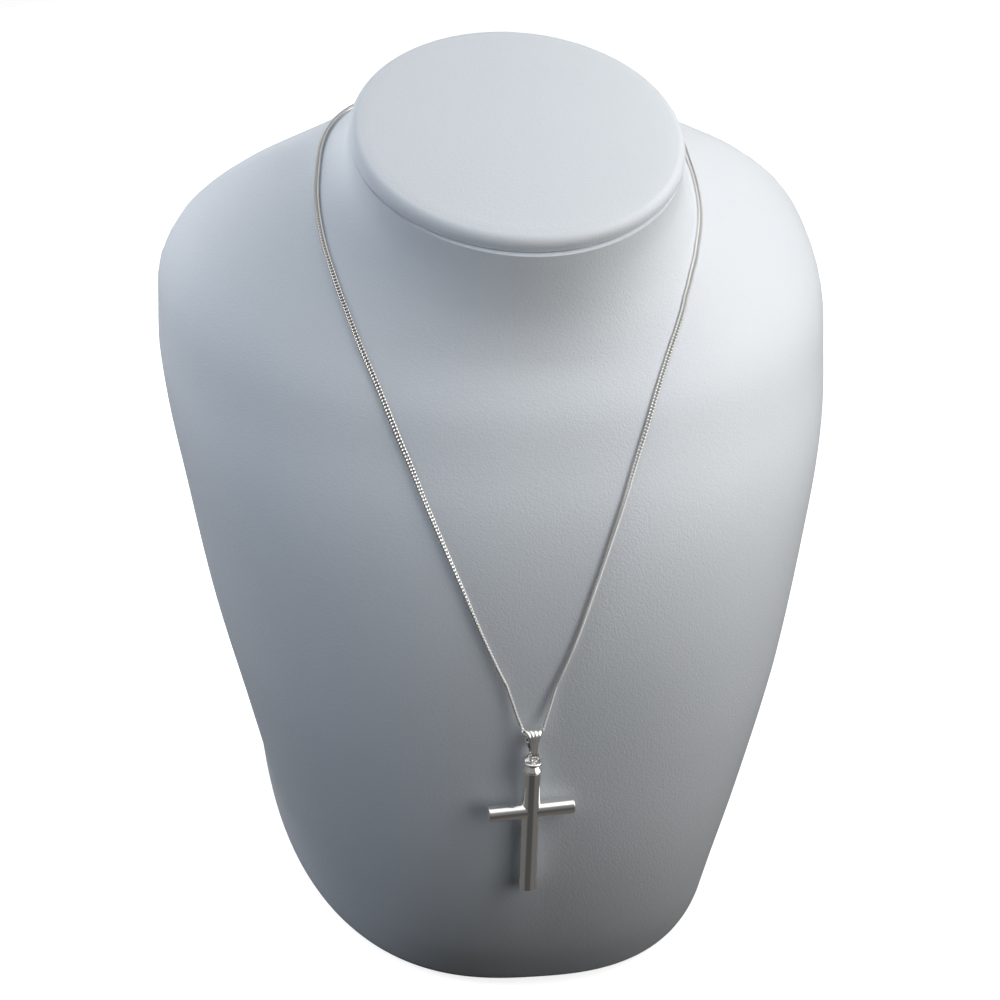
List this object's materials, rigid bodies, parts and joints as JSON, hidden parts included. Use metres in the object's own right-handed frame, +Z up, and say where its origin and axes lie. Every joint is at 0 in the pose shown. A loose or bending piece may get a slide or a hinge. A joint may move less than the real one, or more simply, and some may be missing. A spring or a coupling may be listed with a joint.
{
  "type": "cross pendant necklace on a neck bust",
  "caption": "Silver cross pendant on a ribbed bail and fine curb chain, lying on a white leatherette neck bust with an oval neck panel.",
  "frame": {"origin": "middle of the bust's flat base", "axes": "+Z up, -Y towards the front of the bust, where the pendant lies, +X to the viewer's right"},
  "size_m": [0.206, 0.1714, 0.2444],
  "materials": {
    "leatherette": "matt white, fine grain",
    "polished_silver": "mirror polished"
  },
  "bodies": {
    "root": {"bust": "leatherette", "neck_panel": "leatherette", "chain": "polished_silver", "clasp": "polished_silver", "bail": "polished_silver", "jump_ring": "polished_silver", "cap": "polished_silver", "cross": "polished_silver"}
  },
  "joints": []
}
